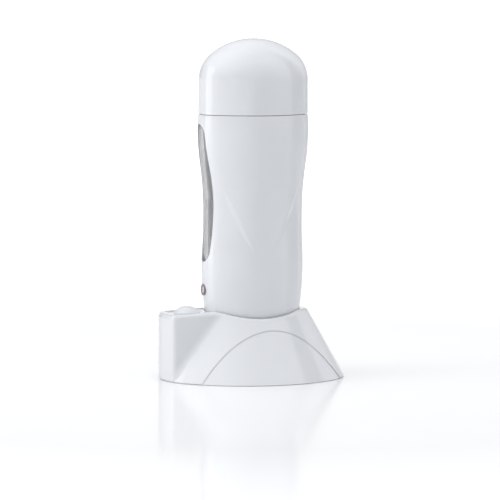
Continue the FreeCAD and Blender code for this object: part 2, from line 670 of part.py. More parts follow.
def dock_cup():
    """The cup that the handset's foot stands in, hung by its flange under the well's skirt."""
    low, high, wall = size("cup_floor_top"), size("collar_bottom"), size("cup_wall")

    def rows(extra, heights):
        return [(hand_half_long(z) + size("well_gap") + extra, z) for z in heights]

    outside = oval_body("cup_outside", "hand", rows(wall, (low - size("cup_floor"), high)))
    inside = oval_body("cup_inside", "hand", rows(0, (low, high + 1)))
    flange = oval_prism("cup_flange_ring", "hand", rows(wall + size("cup_flange"), (high,))[0][0],
                        high - size("cup_flange_thickness"), high)
    depth = ("cup_floor_top - 2 * cup_floor", "collar_bottom")
    holes = [rod(f"cup_pin_hole_{i}", "pin_radius + 2 * contact_gap", "0", y, depth)
             for i, y in enumerate(("-pin_y", "pin_y"))]
    return node("dock_cup", cut("dock_cup_solid", fuse("cup_solid", outside, flange), inside, *holes))


def bottom_plate():
    inset = size("shell_wall") + size("plate_gap")
    plate = flare("plate", inset, high=size("foot_gap") + size("plate_thickness"))
    tower = box("tower", ("-switch_half", "switch_half"),
                ("-(button_y + switch_half)", "-(button_y - switch_half)"), (PLATE_TOP, "switch_bottom"))
    tower_hollow = box("tower_hollow", ("-(switch_half - tower_wall)", "switch_half - tower_wall"),
                       ("-(button_y + switch_half - tower_wall)", "-(button_y - switch_half + tower_wall)"),
                       (PLATE_TOP, "switch_bottom - tower_wall"))
    posts = [box(f"cup_post_{i}", (f"{x} - post_half", f"{x} + post_half"),
                 (f"{y} - post_half", f"{y} + post_half"), (PLATE_TOP, "cup_floor_top - cup_floor"))
             for i, (x, y) in enumerate(four_places("post_x", "post_y"))]
    standoffs = [rod(f"standoff_{i}", "standoff_radius", x, y, (PLATE_TOP, "board_bottom"))
                 for i, (x, y) in enumerate(BOARD_SCREWS)]
    solid = fuse("plate_solid", plate, cut("tower_walls", tower, tower_hollow), *posts, *standoffs)
    holes = []
    for i, (x, y) in enumerate(four_places("boss_x", "boss_y")):
        holes.append(rod(f"plate_hole_{i}", "screw_radius + 2 * screw_gap", x, y, ("0", PLATE_TOP + " + 1")))
        holes.append(rod(f"plate_bore_{i}", "screw_head_radius + head_gap", x, y, ("0", PLATE_SCREW_SEAT)))
    for i, (x, y) in enumerate(four_places("foot_x", FOOT_Y)):
        holes.append(rod(f"foot_pocket_{i}", "foot_radius + foot_seat_gap", x, y, ("0", "foot_height")))
    for i, (x, y) in enumerate(BOARD_SCREWS):
        holes.append(rod(f"standoff_pilot_{i}", "board_screw_radius + screw_gap", x, y,
                         ("board_bottom - board_screw_length", "board_bottom + 1")))
    return node("bottom_plate", cut("bottom_plate_solid", solid, *holes))


def screws(label, places, seat, shank_radius, length, head_radius, head, head_up):
    """Pan-head screws, each a separate solid. The seat is the height under the head."""
    tip = f"({seat}) - ({length})" if head_up else f"({seat}) + ({length})"
    crown = f"({seat}) + ({head})" if head_up else f"({seat}) - ({head})"
    profile = [("0", crown), (head_radius, crown), (head_radius, seat), (shank_radius, seat),
               (shank_radius, tip), ("0", tip)]
    bodies = [turned(f"{label}_{i}", profile, x, y) for i, (x, y) in enumerate(places)]
    return node(label, group(f"{label}_group", bodies))


def dock_hardware():
    """Fasteners, feet and the board under the cup."""
    screws("plate_screws", four_places("boss_x", "boss_y"), PLATE_SCREW_SEAT,
           "screw_radius", "screw_length", "screw_head_radius", "screw_head", head_up=False)
    feet = [turned(f"foot_{i}", [("0", "0"), ("foot_radius", "0"), ("foot_radius", "foot_height"),
                                 ("0", "foot_height")], x, y)
            for i, (x, y) in enumerate(four_places("foot_x", FOOT_Y))]
    node("rubber_feet", group("rubber_feet_group", feet))
    board = padded("board_blank", rectangle("board_half_wide", "board_half_long"), "board_bottom",
                   "board_thickness")
    holes = [rod(f"board_hole_{i}", "board_screw_radius + 2 * screw_gap", x, y, ("0", "2 * board_bottom"))
             for i, (x, y) in enumerate(BOARD_SCREWS)]
    node("control_board", cut("control_board_solid", board, *holes))
    screws("board_screws", BOARD_SCREWS, BOARD_TOP, "board_screw_radius", "board_screw_length",
           "board_screw_head_radius", "board_screw_head", head_up=True)


def board_parts():
    """What stands on the board: the leads' terminal block, the relay and a capacitor."""
    edge, end = "board_half_wide - 1", "board_half_long - 2"
    block = box("terminal_blank", (f"-({edge})", f"-({edge}) + 8"), (f"{end} - 15", end),
                (BOARD_TOP, f"{BOARD_TOP} + terminal_height"))
    screw_wells = [rod(f"terminal_well_{i}", "1.6", f"-({edge}) + 5", f"{end} - {y}",
                       (f"{BOARD_TOP} + terminal_height / 2", f"{BOARD_TOP} + terminal_height + 1"))
                   for i, y in enumerate(("3", "7.5", "12"))]
    lead_holes = [rod_along(f"terminal_hole_{i}", X_AXIS, "1.3", "5", f"-({edge}) - 1", f"{end} - {y}",
                            f"{BOARD_TOP} + terminal_height / 3") for i, y in enumerate(("3", "7.5", "12"))]
    relay = box("relay", (f"{edge} - 8.5", edge), (f"-({end})", f"-({end}) + 13"),
                (BOARD_TOP, f"{BOARD_TOP} + relay_height"))
    capacitor = turned("capacitor", [("0", BOARD_TOP), ("capacitor_radius", BOARD_TOP),
                                     ("capacitor_radius", f"{BOARD_TOP} + capacitor_height"),
                                     ("0", f"{BOARD_TOP} + capacitor_height")],
                       f"{edge} - capacitor_radius", f"{end} - capacitor_radius - 2")
    terminal = cut("terminal_block", block, *screw_wells, *lead_holes)
    node("board_parts", group("board_parts_group", [terminal, relay, capacitor]))


PIN_GUIDE_LOW = "cup_floor_top - cup_floor - pin_guide"
PIN_COLLAR_TOP = f"{PIN_GUIDE_LOW} - pin_collar_gap"
PIN_TIP = "cup_floor_top + pin_proud"


def contact_pins():
    """Two pins in a block under the cup's floor, each held up by a leaf spring on the board."""
    block = padded("pin_block_blank", rectangle("pin_block_half_wide", "pin_block_half_long"),
                   BOARD_TOP, f"cup_floor_top - cup_floor - ({BOARD_TOP})")
    inner = "pin_block_half_wide - pin_block_leg"
    channel = box("pin_channel", (f"-({inner})", inner), (f"-{REACH}", f"{REACH}"), ("0", "pin_block_low"))
    bores = []
    for side, y in (("front", "-pin_y"), ("rear", "pin_y")):
        bores.append(rod(f"pin_bore_{side}", "pin_bore_radius", "0", y, (BOARD_TOP, PIN_GUIDE_LOW)))
        bores.append(rod(f"pin_guide_{side}", "pin_radius + pin_running_gap", "0", y,
                         (PIN_GUIDE_LOW, "cup_floor_top")))
    node("pin_block", cut("pin_block_solid", block, channel, *bores))
    foot = f"{PIN_TIP} - pin_length"
    for side, y in (("front", "-pin_y"), ("rear", "pin_y")):
        collar_low = f"{PIN_COLLAR_TOP} - pin_collar"
        profile = [("0", foot), ("pin_radius", foot), ("pin_radius", collar_low),
                   ("pin_collar_radius", collar_low), ("pin_collar_radius", PIN_COLLAR_TOP),
                   ("pin_radius", PIN_COLLAR_TOP), ("pin_radius", PIN_TIP), ("0", PIN_TIP)]
        node(f"contact_pin_{side}", turned(f"pin_{side}", profile, "0", y))
    for side, sign in (("front", "-"), ("rear", "")):
        node(f"contact_leaf_{side}", leaf(f"leaf_{side}", sign, foot))


def leaf(name, sign, top):
    """A bent strip: a foot on the board, a rising arm and a level end under the pin."""
    low, thick = BOARD_TOP, "leaf_thickness"
    path = [("leaf_foot_far", low), ("leaf_foot_far", f"{low} + {thick}"),
            (f"leaf_foot_near + {thick}", f"{low} + {thick}"), ("pin_y + pin_collar_radius", top),
            ("pin_y - pin_radius", top), ("pin_y - pin_radius", f"{top} - {thick}"),
            (f"pin_y + pin_collar_radius - {thick}", f"{top} - {thick}"), ("leaf_foot_near", low)]
    body = doc.addObject("PartDesign::Body", name)
    drawing = new_sketch(body, "YZ_Plane")
    outline(drawing, [(f"{sign}({y})", z) for y, z in path])
    pad = body.newObject("PartDesign::Pad", f"{name}_pad")
    pad.Profile = drawing
    pad.Midplane = True
    bind(pad, Length="leaf_width")
    return body


BUTTON_FOOT = "button_top - dome_radius + sqrt(dome_radius ^ 2 - button_radius ^ 2)"
FLANGE_TOP = f"{BUTTON_FOOT} - button_skirt"


def push_button():
    """The domed button, its return spring and the latching switch under it."""
    dome = doc.addObject("Part::Sphere", "dome_ball")
    bind(dome, Radius="dome_radius")
    move(dome, "0", "-button_y", "button_top - dome_radius")
    cylinder = rod("button_barrel", "button_radius", "0", "-button_y", (FLANGE_TOP, "button_top + 1"))
    crown = common("button_crown", dome, cylinder)
    base = f"{FLANGE_TOP} - button_flange"
    flange = rod("button_flange_disc", "button_flange_radius", "0", "-button_y", (base, FLANGE_TOP))
    stem = rod("button_stem", "button_stem_radius", "0", "-button_y", ("switch_top + plunger_proud", base))
    node("power_button", fuse("power_button_solid", crown, flange, stem))
    housing = box("switch_housing", ("-switch_half", "switch_half"),
                  ("-(button_y + switch_half)", "-(button_y - switch_half)"), ("switch_bottom", "switch_top"))
    well = rod("switch_well", "plunger_radius + plunger_gap", "0", "-button_y",
               ("switch_top - plunger_depth - button_travel - 0.5", "switch_top + 1"))
    node("switch_body", cut("switch_body_solid", housing, well))
    node("switch_plunger", rod("plunger", "plunger_radius", "0", "-button_y",
                               ("switch_top - plunger_depth", "switch_top + plunger_proud")))


def power_inlet():
    """A two-pin appliance inlet set in the notch at the back."""
    wall_back = "notch_face - notch_wall"
    body_front = INLET_BACK_Y
    housing = slot_along_y("inlet_housing", "inlet_half_pitch", f"({NOSE_RADIUS} + inlet_shoulder)",
                           (body_front, wall_back), INLET_Z)
    nose = slot_along_y("inlet_nose", "inlet_half_pitch", NOSE_RADIUS, (wall_back, "notch_face"), INLET_Z)
    socket = slot_along_y("inlet_socket", "inlet_half_pitch", "inlet_hole_radius",
                          ("notch_face - inlet_depth", "notch_face + 1"), INLET_Z)
    centres = ("-inlet_half_pitch", "inlet_half_pitch")
    seats = [rod_along(f"inlet_seat_{i}", Y_AXIS, "inlet_pin_radius", "inlet_back + 2", x,
                       f"{body_front} - 1", INLET_Z) for i, x in enumerate(centres)]
    node("power_inlet", cut("power_inlet_solid", fuse("inlet_solid", housing, nose), socket, *seats))
    pins = [rod_along(f"inlet_pin_{i}", Y_AXIS, "inlet_pin_radius",
                      f"notch_face - inlet_pin_short - ({body_front})", x, body_front, INLET_Z)
            for i, x in enumerate(centres)]
    node("inlet_pins", group("inlet_pins_group", pins))


# ---------------------------------------------------------------- handset

def hand_curve():
    """Tangent heights and radii of the handset's outline, from the sizes that drive it."""
    belly_z, belly, belly_r = size("belly_height"), size("belly_half_long"), size("belly_radius")
    waist_low, waist_high, waist = size("waist_low"), size("waist_high"), size("waist_half_long")
    waist_r, shoulder_z, shoulder = size("waist_radius"), size("shoulder_height"), size("shoulder_half_long")
    low_radii = ((belly - waist) ** 2 + (waist_low - belly_z) ** 2) / (2 * (belly - waist))
    high_radii = ((shoulder - waist) ** 2 + (shoulder_z - waist_high) ** 2) / (2 * (shoulder - waist))
    belly_end = belly_z + (waist_low - belly_z) * belly_r / low_radii
    waist_end = waist_high + (shoulder_z - waist_high) * waist_r / high_radii
    return belly_end, waist_end, low_radii - belly_r, high_radii - waist_r


def hand_half_long(z):
    """Half the handset's length at a height: a straight foot, then tangent arcs and a straight waist."""
    belly_end, waist_end, low_r, shoulder_r = hand_curve()
    belly_z, belly, belly_r = size("belly_height"), size("belly_half_long"), size("belly_radius")
    waist, waist_r, lean_z = size("waist_half_long"), size("waist_radius"), size("lean_top")

    def bulge(height, middle_z, most, radius):
        return most - radius + math.sqrt(radius ** 2 - (height - middle_z) ** 2)

    def hollow(height, end_z, radius):
        return waist + radius - math.sqrt(radius ** 2 - (height - end_z) ** 2)

    if z < lean_z:
        slope = (belly_z - lean_z) / math.sqrt(belly_r ** 2 - (belly_z - lean_z) ** 2)
        return bulge(lean_z, belly_z, belly, belly_r) - slope * (lean_z - z)
    if z < belly_end:
        return bulge(z, belly_z, belly, belly_r)
    if z < size("waist_low"):
        return hollow(z, size("waist_low"), low_r)
    if z < size("waist_high"):
        return waist
    if z < waist_end:
        return hollow(z, size("waist_high"), waist_r)
    return bulge(z, size("shoulder_height"), size("shoulder_half_long"), shoulder_r)


def within(low, high, heights):
    return [low] + [z for z in heights if low < z < high] + [high]


def hand_form(name, inset, low=None, high=None, bevel=0.0):
    """The handset's outer form, smaller all round by an inset, with a bevel at its upper edge."""
    low = size("sole_height") if low is None else low
    high = size("seam_height") if high is None else high
    belly_end, waist_end = hand_curve()[:2]
    bends = [size("lean_top"), belly_end, size("waist_low"), size("waist_high"), waist_end, high - bevel]
    heights = within(low, high, bends)

    def half_long(z):
        return hand_half_long(z) - inset - max(0.0, z - (high - bevel))

    return oval_body(name, "hand", [(half_long(z), z) for z in heights], half_long)


def core_form(name, inset, low, high):
    """The handset's inner form: it widens upwards only, so that a mould's core can be drawn out."""
    wall, straight = size("hand_wall"), size("core_half_long")
    sole, lean, core_top = size("sole_height"), size("lean_top"), size("core_straight_top")
    shoulder, seam = size("shoulder_height"), size("seam_height")
    marks = [(sole, hand_half_long(sole) - wall), (lean, straight), (core_top, straight),
             (shoulder, size("shoulder_half_long") - wall), (seam + 2, size("shoulder_half_long") - wall)]

    def half_long(z):
        for (low_z, low_half), (high_z, high_half) in zip(marks, marks[1:]):
            if z <= high_z:
                return low_half + (high_half - low_half) * (z - low_z) / (high_z - low_z) - inset
        raise ValueError(f"no core at {z}")

    return oval_body(name, "hand", [(half_long(z), z) for z in within(low, high, [lean, core_top, shoulder])])


def shield():
    """The shields on both sides bridge the waist and end in sloped edges that run down to a point.

    Each slope lies on a cone about the upright line through the side's centre, so that the edge is
    straight as seen from the side. Its level sections are ellipses with a focus on that line.
    """
    half_long = size("belly_half_long") - size("shield_sink")
    end, side = size("hand_end_centre"), size("hand_side_centre")
    radius = half_long - end + math.hypot(end, side)
    margin = size("shield_margin")
    top_y, top_z = size("shield_top_y"), size("shield_top_z")
    foot_y, foot_z = size("shield_foot_y"), size("shield_foot_z")
    below, above, across = foot_z - margin, top_z + margin, top_y + margin
    along = V(0, top_y - foot_y, top_z - foot_z).normalize()
    fall = math.tan(math.radians(size("shield_slope")))
    tilt = fall * along.z
    field = Part.Face(Part.makePolygon([V(0, -across, above), V(0, -foot_y, below), V(0, foot_y, below),
                                        V(0, across, above), V(0, -across, above)]))
    right = oval_prism("shield_form", "hand", half_long, below, above).Shape
    right = right.common(field.extrude(V(REACH, 0, 0)))

    def section(way, z):
        reach = (radius + tilt * foot_y + fall * along.y * (z - foot_z)) / (1 - tilt ** 2)
        centre = V(-side, -way * tilt * reach, z)
        narrow = reach * math.sqrt(1 - tilt ** 2)
        ellipse = Part.Ellipse(centre + V(0, reach, 0), centre + V(narrow, 0, 0), centre)
        return Part.Wire(ellipse.toShape())

    for way in (-1, 1):
        right = right.common(Part.makeLoft([section(way, below - 1), section(way, above + 1)], True, True))
    return shape("shield_right", right), shape("shield_left", right.mirror(V(0, 0, 0), X_AXIS))


def window_prism(name, grow=0.0):
    """The window's outline, two round ends joined by long arcs, drawn towards the front."""
    side_radius = size("window_side_radius") + grow
    foot, head = size("window_foot_radius") + grow, size("window_head_radius") + grow
    half, widest = size("window_half_width") + grow, size("window_widest_z")
    offset = side_radius - half
    foot_z = widest - math.sqrt((side_radius - foot) ** 2 - offset ** 2)
    head_z = widest + math.sqrt((side_radius - head) ** 2 - offset ** 2)

    def tangent(radius, centre_z):
        """Where a long side meets a round end, on the right."""
        away = V(offset, 0, centre_z - widest).normalize()
        return V(-offset, 0, widest) + away * side_radius

    low_end, high_end = tangent(foot, foot_z), tangent(head, head_z)

    def mirrored(point):
        return V(-point.x, point.y, point.z)

    edges = [
        Part.Arc(low_end, V(half, 0, widest), high_end).toShape(),
        Part.Arc(high_end, V(0, 0, head_z + head), mirrored(high_end)).toShape(),
        Part.Arc(mirrored(high_end), V(-half, 0, widest), mirrored(low_end)).toShape(),
        Part.Arc(mirrored(low_end), V(0, 0, foot_z - foot), low_end).toShape(),
    ]
    face = Part.Face(Part.Wire(edges))
    return shape(name, face.extrude(V(0, -REACH, 0)))


def handset_shell():
    low = size("cover_top") + size("cover_seam")
    outside = hand_form("hand_outside", 0.0, low=low, bevel=size("seam_bevel"))
    form = fuse("hand_form_solid", outside, *shield())
    tube = cut("hand_tube", form, core_form("hand_inside", 0.0, low - 1, size("seam_height") + 1))
    height = ("cover_top + cover_seam", "cover_top + cover_seam + cover_boss_height")
    places = ("-cover_screw_y", "cover_screw_y")
    bosses = [rod(f"cover_boss_{i}", "cover_boss_radius", "0", y, height) for i, y in enumerate(places)]
    ribs = box("cover_boss_ribs", ("-boss_rib / 2", "boss_rib / 2"), (f"-{REACH}", f"{REACH}"), height)
    space = box("rib_space", (f"-{REACH}", f"{REACH}"), places, ("0", f"{REACH}"))
    limit = hand_form("cover_boss_limit", size("hand_wall") / 2, high=size("belly_height"))
    ribbed = fuse("hand_boss_rods", *bosses, cut("hand_ribs", ribs, space))
    solid = fuse("hand_solid", tube, common("hand_bosses", ribbed, limit))
    depth = ("cover_top", "cover_top + cover_screw_length")
    pilots = [rod(f"cover_pilot_{i}", "cover_screw_radius + screw_gap", "0", y, depth)
              for i, y in enumerate(places)]
    lamp_hole = rod_along("indicator_hole", -Y_AXIS, "indicator_barrel_radius + indicator_hole_gap",
                          f"{REACH}", "0", "-(chamber_centre + chamber_radius)", "indicator_z")
    seat_face = "-(indicator_reach - indicator_lip - indicator_lens_gap)"
    lamp_seat = rod_along("indicator_seat", -Y_AXIS, "indicator_lip_radius + indicator_hole_gap",
                          f"{REACH}", "0", seat_face, "indicator_z")
    shell = cut("handset_shell_solid", solid, window_prism("window"), lamp_hole, lamp_seat, *pilots)
    return node("handset_shell", shell)


def window_lens():
    """The clear window: a plug flush with the shell and a lip behind its wall."""
    seat = size("lens_seat_gap")
    low = size("belly_height") - size("window_head_radius")
    seam = size("seam_height")
    core = core_form("lens_core", seat + size("lens_lip_thickness"), low - 1, seam + 1)
    face = hand_form("lens_outside", size("lens_sunk"), low)
    plug = common("lens_plug", face, window_prism("lens_outline", -size("lens_gap")))
    backing = core_form("lip_outside", seat, low, seam)
    lip = common("lens_lip_part", backing, window_prism("lip_outline", size("lens_lip")))
    return node("window_lens", cut("window_lens_solid", fuse("lens_solid", plug, lip), core))


def indicator():
    """The round lamp low on the front: bezel, lens, lamp and its little board."""
    face = "indicator_reach"

    def disc(name, radius, start, length):
        """A disc whose front stands at a distance from the axis."""
        return rod_along(name, Y_AXIS, radius, length, "0", f"-({start})", "indicator_z")

    bezel = fuse("bezel_solid", disc("bezel_lip", "indicator_lip_radius", face, "indicator_lip"),
                 disc("bezel_barrel", "indicator_barrel_radius", face, "indicator_depth"))
    bore = disc("bezel_bore", "indicator_lens_radius + indicator_lens_gap", f"{face} + 1",
                "indicator_depth + 2")
    node("indicator_bezel", cut("indicator_bezel_solid", bezel, bore))
    ball = doc.addObject("Part::Sphere", "indicator_ball")
    bind(ball, Radius="indicator_dome_radius")
    move(ball, "0", f"-({face} + indicator_lens_proud - indicator_dome_radius)", "indicator_z")
    barrel = disc("indicator_plug", "indicator_lens_radius", f"{face} + 1", "indicator_lens_depth + 1")
    node("indicator_lens", common("indicator_lens_solid", ball, barrel))
    board_front = f"{face} - indicator_depth"
    node("lamp_board", box("lamp_board_solid", ("-lamp_board_half_wide", "lamp_board_half_wide"),
                           (f"-({board_front})", f"-({board_front} - lamp_board_thickness)"),
                           ("indicator_z - lamp_board_half_tall", "indicator_z + lamp_board_half_tall")))
    node("indicator_lamp", disc("indicator_lamp_solid", "lamp_radius", f"{board_front} + lamp_length",
                                "lamp_length"))


def heating_chamber():
    """The aluminium pot that holds the cartridge, open at the top and slotted behind the window."""
    outside = stadium("chamber_outside", "chamber_radius + chamber_wall", "chamber_bottom", "chamber_top")
    inside = stadium("chamber_inside", "chamber_radius", "chamber_bottom + chamber_floor", "chamber_top + 1")
    low, high = "sight_low + sight_half_width", "sight_high - sight_half_width"
    slot = box("sight_slot", ("-sight_half_width", "sight_half_width"), (f"-{REACH}", "0"), (low, high))
    ends = [rod_along(f"sight_end_{i}", -Y_AXIS, "sight_half_width", f"{REACH}", "0", "0", z)
            for i, z in enumerate((low, high))]
    node("heating_chamber", cut("heating_chamber_solid", outside, inside, fuse("sight_opening", slot, *ends)))


def heater_parts():
    """What heats the chamber and what guards it."""
    face = "(chamber_radius + chamber_wall)"
    back = f"({face} + heater_thickness)"
    for side, x in (("left", (f"-{back}", f"-{face}")), ("right", (face, back))):
        node(f"heater_plate_{side}", box(f"heater_{side}", x, ("-heater_half_long", "heater_half_long"),
                                         ("heater_low", "heater_high")))
    reach = f"{back} + clip_gap"
    band = stadium("clip_outside", f"{reach} + clip_thickness", "clip_low", "clip_high")
    node("heater_clip", cut("heater_clip_solid", band,
                            stadium("clip_inside", reach, "clip_low - 1", "clip_high + 1")))
    bottom, flange = "chamber_bottom - thermostat_height", "chamber_bottom - thermostat_flange"
    profile = [("0", bottom), ("thermostat_radius", bottom), ("thermostat_radius", flange),
               ("thermostat_flange_radius", flange), ("thermostat_flange_radius", "chamber_bottom"),
               ("0", "chamber_bottom")]
    node("thermostat", turned("thermostat_body", profile, "0", "thermostat_y"))
    node("thermal_fuse", rod_along("thermal_fuse_solid", X_AXIS, "fuse_radius", "2 * fuse_half_length",
                                   "-fuse_half_length", "-fuse_y", "chamber_bottom - fuse_radius"))
    middle_z = "chamber_bottom - fuse_radius"
    wide, bore = "(fuse_radius + fuse_strap)", "(fuse_radius + fuse_strap_gap)"
    saddle = box("strap_block", ("-fuse_strap_half_wide", "fuse_strap_half_wide"),
                 (f"-(fuse_y + {wide} + 2)", f"-(fuse_y - {wide} - 2)"),
                 ("chamber_bottom - fuse_radius * 2 - fuse_strap", "chamber_bottom"))
    through = (f"-{REACH}", f"{REACH}")
    hollow = rod_along("strap_bore", X_AXIS, bore, f"2 * {REACH}", f"-{REACH}", "-fuse_y", middle_z)
    outsides = ((f"-{REACH}", f"-(fuse_y + {wide})"), (f"-(fuse_y - {wide})", f"{REACH}"))
    trims = [box(f"strap_trim_{i}", through, y, ("0", "chamber_bottom - fuse_strap"))
             for i, y in enumerate(outsides)]
    throat = box("strap_throat", through, (f"-(fuse_y + {bore})", f"-(fuse_y - {bore})"),
                 (middle_z, "chamber_bottom + 1"))
    node("fuse_strap", cut("fuse_strap_solid", saddle, hollow, throat, *trims))


def top_collar():
    """The neck that the cap slips over: an outer wall, a deck and a tube down to the chamber."""
    half_long, low, high = size("neck_half_long"), size("neck_bottom"), size("neck_top")
    outside = oval_prism("neck_outside", "hand", half_long, low, high)
    under_deck = high - size("deck_thickness")
    space = oval_prism("neck_space", "hand", half_long - size("neck_wall"), low - 1, under_deck)
    tube = stadium("chimney", "chamber_radius + chimney_wall", "chamber_top", "neck_top")
    mouth = stadium("mouth", "chamber_radius", "neck_bottom - 1", "neck_top + 1")
    notch = box("neck_notch", ("-neck_notch_half", "neck_notch_half"),
                (f"-{REACH}", "-(chamber_centre + chamber_radius + chamber_wall)"),
                ("neck_bottom - 1", "neck_notch_top"))
    walls = cut("neck_walls", outside, space, notch)
    node("top_collar", cut("top_collar_solid", fuse("collar_solid", walls, tube), mouth))


def bottom_cover():
    """The handset's sole with its spigot and the props under the chamber, and what it carries."""
    sole, bevel, top = size("sole_height"), size("cover_chamfer"), size("cover_top")
    rows = [(hand_half_long(sole) - bevel, sole), (hand_half_long(sole + bevel), sole + bevel),
            (hand_half_long(top), top)]
    plate = oval_body("cover_plate", "hand", rows)
    lean = top + size("spigot_height")
    inside = hand_half_long(top) - size("hand_wall") - size("spigot_gap")
    spigot = oval_prism("spigot", "hand", inside, top, lean)
    room = oval_prism("spigot_room", "hand", inside - size("spigot_wall"), top, lean + 1)
    gates = box("spigot_gates", ("-(cover_boss_radius + 1)", "cover_boss_radius + 1"),
                (f"-{REACH}", f"{REACH}"), ("cover_top", f"{REACH}"))
    props = [box(f"prop_{i}", ("-prop_half_wide", "prop_half_wide"),
                 (f"{y} - prop_thickness / 2", f"{y} + prop_thickness / 2"), ("cover_top", "chamber_bottom"))
             for i, y in enumerate(("-prop_y", "prop_y"))]
    solid = fuse("cover_solid", plate, cut("spigot_walls", spigot, room, gates), *props)
    seat = "sole_height + contact_sunk + contact_thickness"
    screw_seat = "sole_height + cover_head + head_gap / 2"
    through = ("0", "cover_top + 1")
    holes = []
    for i, y in enumerate(("-pin_y", "pin_y")):
        holes.append(rod(f"contact_seat_{i}", "contact_radius + contact_gap", "0", y, ("0", seat)))
        holes.append(rod(f"contact_hole_{i}", "contact_stem_radius + contact_gap", "0", y, through))
    for i, y in enumerate(("-cover_screw_y", "cover_screw_y")):
        holes.append(rod(f"cover_hole_{i}", "cover_screw_radius + 2 * screw_gap", "0", y, through))
        holes.append(rod(f"cover_bore_{i}", "cover_head_radius + head_gap", "0", y, ("0", screw_seat)))
    node("bottom_cover", cut("bottom_cover_solid", solid, *holes))
    screws("cover_screws", [("0", "-cover_screw_y"), ("0", "cover_screw_y")], screw_seat,
           "cover_screw_radius", "cover_screw_length", "cover_head_radius", "cover_head", head_up=False)
    low = "sole_height + contact_sunk"
    profile = [("0", low), ("contact_radius", low), ("contact_radius", seat), ("contact_stem_radius", seat),
               ("contact_stem_radius", f"{seat} + contact_stem"), ("0", f"{seat} + contact_stem")]
    contacts = [turned(f"contact_{i}", profile, "0", y) for i, y in enumerate(("-pin_y", "pin_y"))]
    node("handset_contacts", group("handset_contacts_group", contacts))
    carrier = padded("carrier_blank", rectangle("carrier_half_wide", "carrier_half_long"), "cover_top",
                     "carrier_height")
    bores = [rod(f"carrier_bore_{i}", "contact_stem_radius + contact_gap / 3", "0", y,
                 ("cover_top - 1", "chamber_bottom")) for i, y in enumerate(("-pin_y", "pin_y"))]
    node("contact_carrier", cut("contact_carrier_solid", carrier, *bores))


def dome(name, half_long, base):
    """Half an egg: the handset's oval turned about its long axis, so that its foot is that oval."""
    end, side = size("hand_end_centre"), size("hand_side_centre")
    nose, crown = half_long - end, half_long - end + math.hypot(end, side)
    join = math.atan2(side, end)

    def on_nose(angle):
        return V(0, end + nose * math.cos(angle), nose * math.sin(angle))

    def back(point):
        return V(0, -point.y, point.z)

    tip, halfway, join_point = on_nose(0), on_nose(join / 2), on_nose(join)
    edges = [Part.Arc(tip, halfway, join_point).toShape(),
             Part.Arc(join_point, V(0, 0, crown - side), back(join_point)).toShape(),
             Part.Arc(back(join_point), back(halfway), back(tip)).toShape(),
             Part.makeLine(back(tip), tip)]
    face = Part.Face(Part.Wire(edges))
    face.rotate(V(0, 0, 0), Y_AXIS, -90)
    solid = face.revolve(V(0, 0, 0), Y_AXIS, 180)
    solid.translate(V(0, 0, base))
    return shape(name, solid)


def cap_shell():
    """The cap: a nearly straight wall that carries on the handset's, closed by a dome."""
    half, foot, low = size("cap_half_long"), size("cap_foot_half_long"), size("seam_height") + size("cap_gap")
    end, side = size("hand_end_centre"), size("hand_side_centre")
    reach, wall, bevel = math.hypot(end, side), size("cap_wall"), size("seam_bevel")
    base = size("cap_top") - (half - end + reach - side)
    skirt = oval_body("cap_skirt", "hand", [(foot - bevel, low), (foot, low + bevel), (half, base)])
    nose = half - wall - end

    def room_half_long(rise):
        """Inside half length in the dome: along its nose, then along its crown."""
        if rise < nose * side / reach:
            return end + math.sqrt(nose ** 2 - rise ** 2)
        return math.sqrt((nose + reach) ** 2 - (rise + side) ** 2)

    rises = [size("cap_room_rise") * math.sin(math.radians(angle)) for angle in range(0, 91, 18)]
    rows = [(foot - wall, low - 1)] + [(room_half_long(rise), base + rise) for rise in rises]
    outside = fuse("cap_outside", skirt, dome("cap_dome", half, base))
    return node("cap_shell", cut("cap_shell_solid", outside, oval_body("cap_room", "hand", rows)))


# ---------------------------------------------------------------- the whole

def build():
    dock_shell()
    dock_cup()
    bottom_plate()
    dock_hardware()
    board_parts()
    contact_pins()
    push_button()
    power_inlet()
    handset_shell()
    window_lens()
    indicator()
    heating_chamber()
    heater_parts()
    top_collar()
    bottom_cover()
    cap_shell()


def write():
    doc.recompute()
    for thing in doc.Objects:
        if "Invalid" in thing.State or "Error" in thing.State:
            raise RuntimeError(f"{thing.Name} failed: {thing.State}")
    os.makedirs("parts", exist_ok=True)
    for thing in nodes:
        solid = thing.Shape
        if solid.isNull() or not solid.isValid() or not solid.Solids:
            raise RuntimeError(f"{thing.Label} is not a valid solid")
        solid.exportStep(os.path.join("parts", f"{thing.Label}.step"))
        print(f"{thing.Label}: {len(solid.Solids)} solid(s), {solid.Volume:.1f} mm3")


build()
write()
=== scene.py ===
"""Roll-on wax heater in its dock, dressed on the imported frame. Metres, +Z up, front towards -Y."""

import json
import math

import bmesh
import bpy
from mathutils import Matrix, Vector


